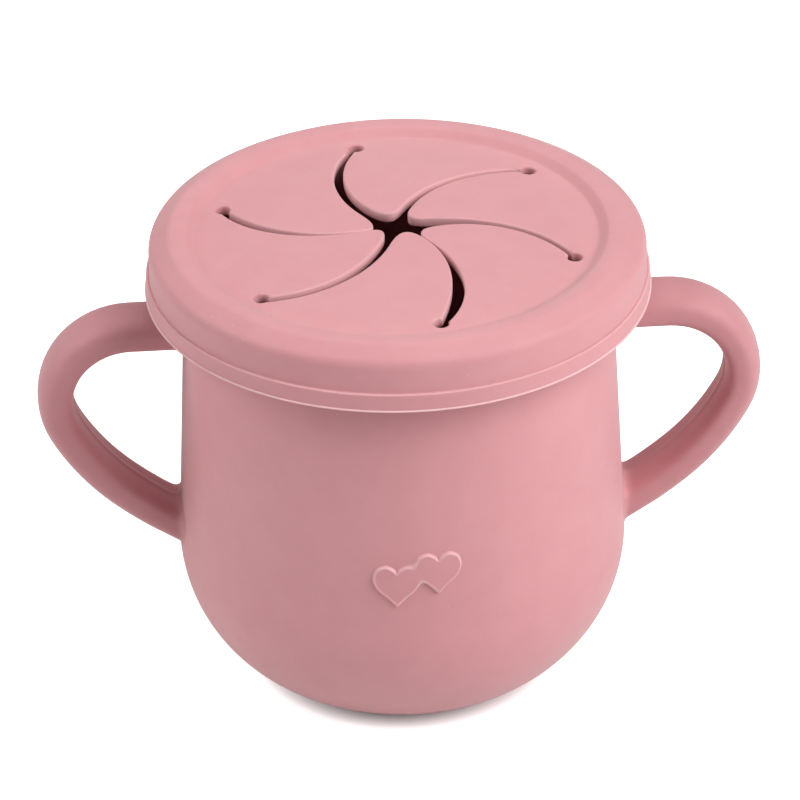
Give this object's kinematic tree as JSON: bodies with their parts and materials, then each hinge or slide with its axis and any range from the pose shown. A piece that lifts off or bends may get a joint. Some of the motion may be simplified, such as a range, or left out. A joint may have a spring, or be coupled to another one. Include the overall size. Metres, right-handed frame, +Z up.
{
  "type": "toddler snack container",
  "caption": "Soft silicone cup with two side handles and a push-on lid whose swirled petals bend to let a small hand in.",
  "frame": {"origin": "centre of the foot's resting face, on the cup's axis", "axes": "+Z up along the cup's axis, the handles lie along X, the heart relief faces -Y"},
  "size_m": [0.13, 0.09, 0.0879],
  "materials": {
    "cup_silicone": "soft matte silicone, dusty pink",
    "lid_silicone": "soft matte silicone, dusty pink"
  },
  "bodies": {
    "cup": {"cup_shell": "cup_silicone", "handle_left": "cup_silicone", "handle_right": "cup_silicone", "heart_relief": "cup_silicone"},
    "lid": {"lid_rim": "lid_silicone", "lid_snap_lip": "lid_silicone"},
    "flap_1": {"flap_1": "lid_silicone"},
    "flap_2": {"flap_2": "lid_silicone"},
    "flap_3": {"flap_3": "lid_silicone"},
    "flap_4": {"flap_4": "lid_silicone"},
    "flap_5": {"flap_5": "lid_silicone"},
    "flap_6": {"flap_6": "lid_silicone"}
  },
  "joints": [
    {"name": "lid_lift", "type": "slide", "parent": "cup", "child": "lid", "axis": [0, 0, 1], "range_m": [0, 0.03], "deforming": ["lid_snap_lip"]},
    {"name": "flap_1_bend", "type": "hinge", "parent": "lid", "child": "flap_1", "pos_m": [-0.00529, 0.03197, 0.08601], "axis": [0.8695, -0.4939, 0], "range_deg": [-40, 65], "stiffness_Nm_per_rad": 0.02},
    {"name": "flap_2_bend", "type": "hinge", "parent": "lid", "child": "flap_2", "pos_m": [0.02504, 0.02056, 0.08601], "axis": [0.007, -1, 0], "range_deg": [-40, 65], "stiffness_Nm_per_rad": 0.02},
    {"name": "flap_3_bend", "type": "hinge", "parent": "lid", "child": "flap_3", "pos_m": [0.03033, -0.0114, 0.08601], "axis": [-0.8625, -0.506, 0], "range_deg": [-40, 65], "stiffness_Nm_per_rad": 0.02},
    {"name": "flap_4_bend", "type": "hinge", "parent": "lid", "child": "flap_4", "pos_m": [0.00529, -0.03197, 0.08601], "axis": [-0.8695, 0.4939, 0], "range_deg": [-40, 65], "stiffness_Nm_per_rad": 0.02},
    {"name": "flap_5_bend", "type": "hinge", "parent": "lid", "child": "flap_5", "pos_m": [-0.02504, -0.02056, 0.08601], "axis": [-0.007, 1, 0], "range_deg": [-40, 65], "stiffness_Nm_per_rad": 0.02},
    {"name": "flap_6_bend", "type": "hinge", "parent": "lid", "child": "flap_6", "pos_m": [-0.03033, 0.0114, 0.08601], "axis": [0.8625, 0.506, 0], "range_deg": [-40, 65], "stiffness_Nm_per_rad": 0.02}
  ]
}
